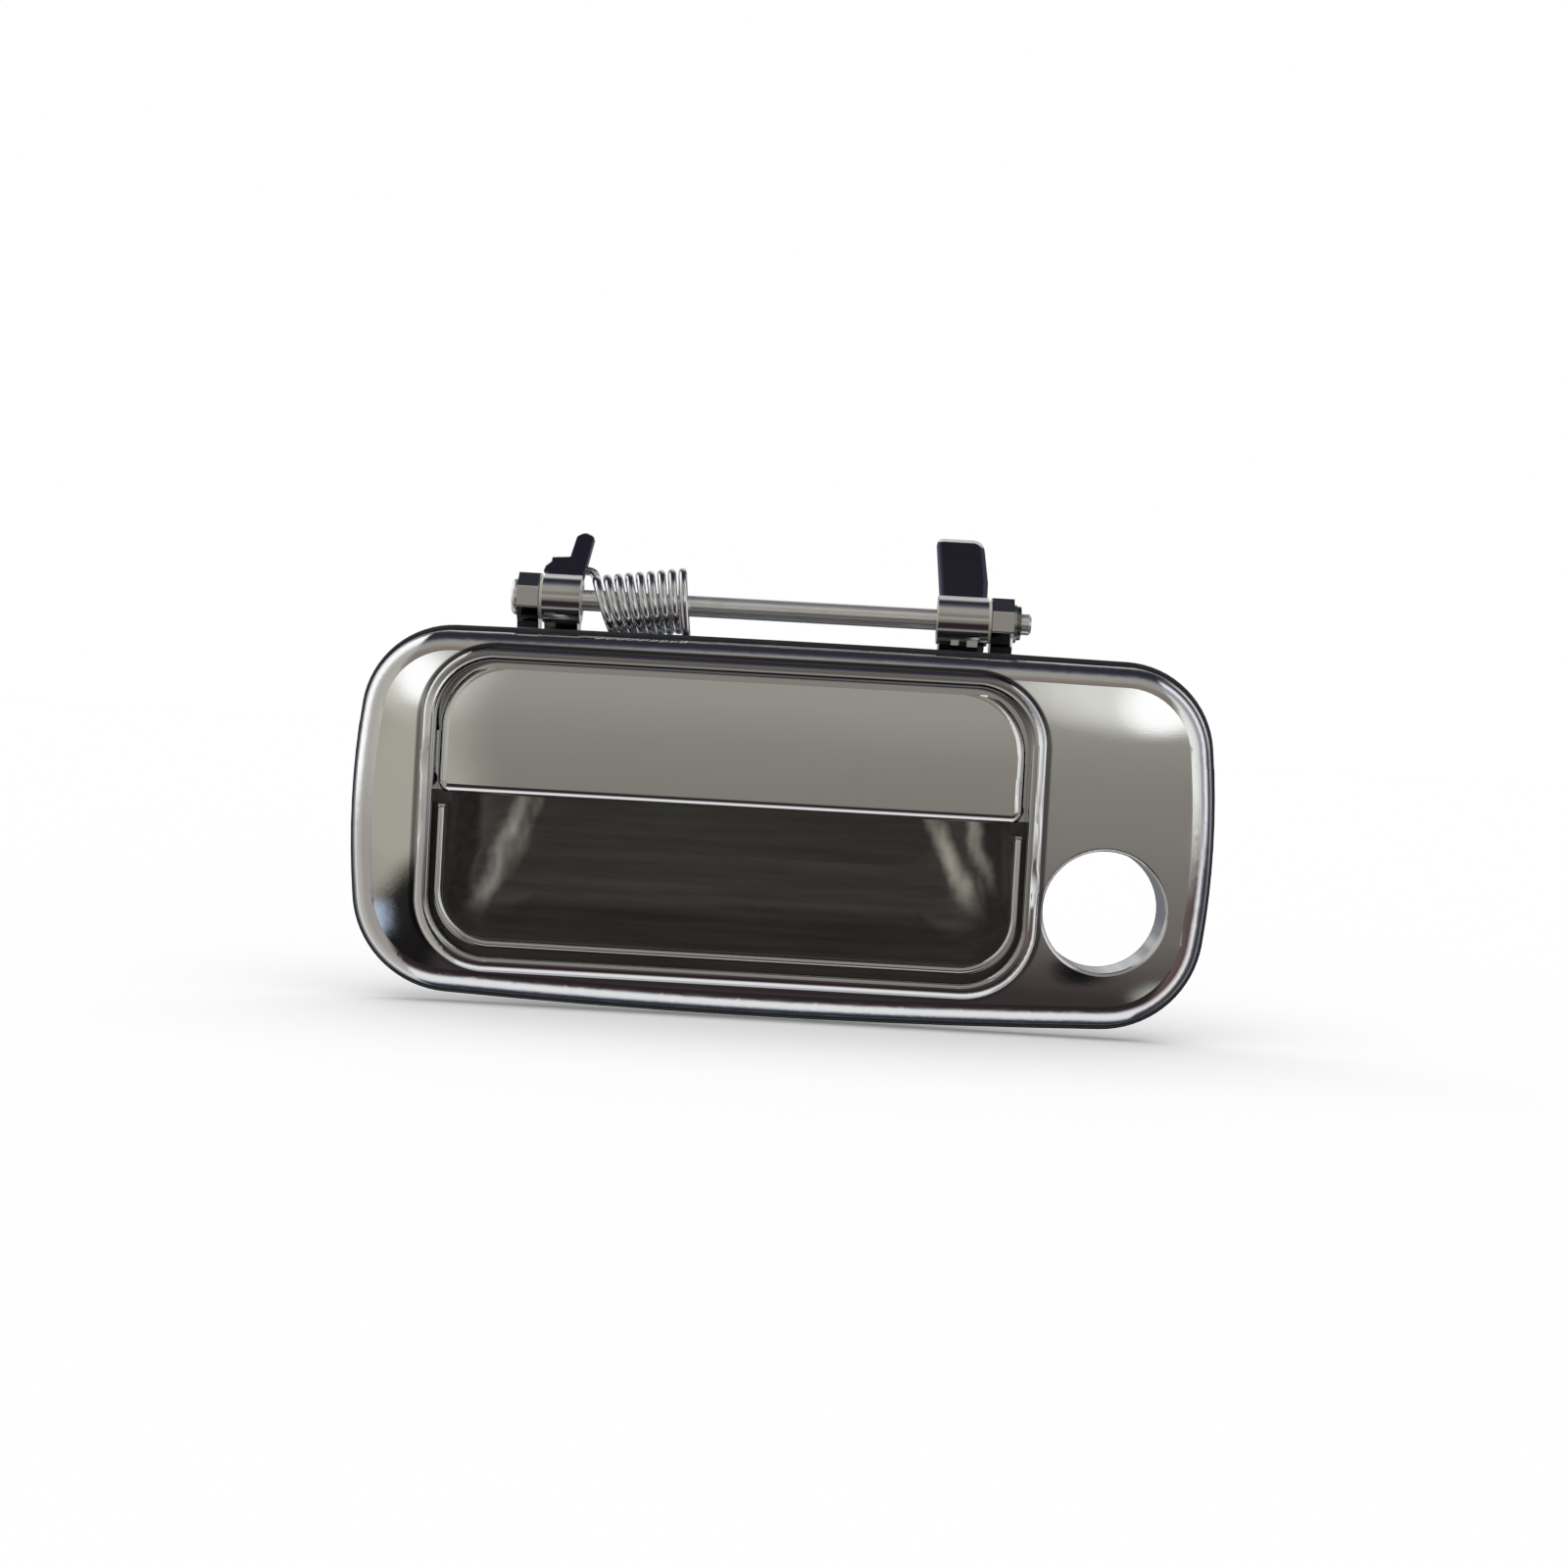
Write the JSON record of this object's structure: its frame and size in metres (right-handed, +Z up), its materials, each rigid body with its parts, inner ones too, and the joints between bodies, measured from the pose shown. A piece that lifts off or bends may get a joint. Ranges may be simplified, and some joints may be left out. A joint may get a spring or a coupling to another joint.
{
  "type": "car door handle",
  "caption": "Exterior flap door handle: chromed bezel with a finger recess, a hinged pull paddle on a sprung pivot shaft, a round lock-cylinder hole and a rubber gasket.",
  "frame": {"origin": "midway between the two tapped mounting bosses, on the plane of the door skin's outer surface", "axes": "+X to the right seen from outside the car, +Y into the door, +Z up; the chrome face looks along -Y"},
  "size_m": [0.1924, 0.0264, 0.1094],
  "materials": {
    "chrome_bezel": "bright chrome plating on a zinc die casting",
    "cup_dark": "glossy dark moulded scoop",
    "rubber_black": "matt black rubber",
    "shaft_steel": "bright zinc-plated steel",
    "spring_steel": "bright spring wire",
    "screw_steel": "zinc-plated steel",
    "nylon": "natural nylon",
    "chrome_paddle": "bright chrome plating"
  },
  "bodies": {
    "frame": {"bezel_frame": "chrome_bezel", "finger_cup": "cup_dark", "cup_screws": "screw_steel", "bezel_gasket": "rubber_black", "pivot_shaft": "shaft_steel", "shaft_washer": "shaft_steel", "shaft_e_clip": "spring_steel", "return_spring": "spring_steel", "rest_bumpers": "rubber_black", "open_stop_pads": "rubber_black"},
    "paddle": {"paddle_cover": "chrome_paddle", "paddle_carrier": "chrome_paddle", "carrier_screws": "screw_steel", "left_hub_bush": "nylon", "right_hub_bush": "nylon"}
  },
  "joints": [
    {"name": "paddle_hinge", "type": "hinge", "parent": "frame", "child": "paddle", "pos_m": [-0.005, 0.007, 0.0485], "axis": [-1, 0, 0], "range_deg": [0, 25], "stiffness_Nm_per_rad": 0.3, "deforming": ["return_spring"]}
  ]
}
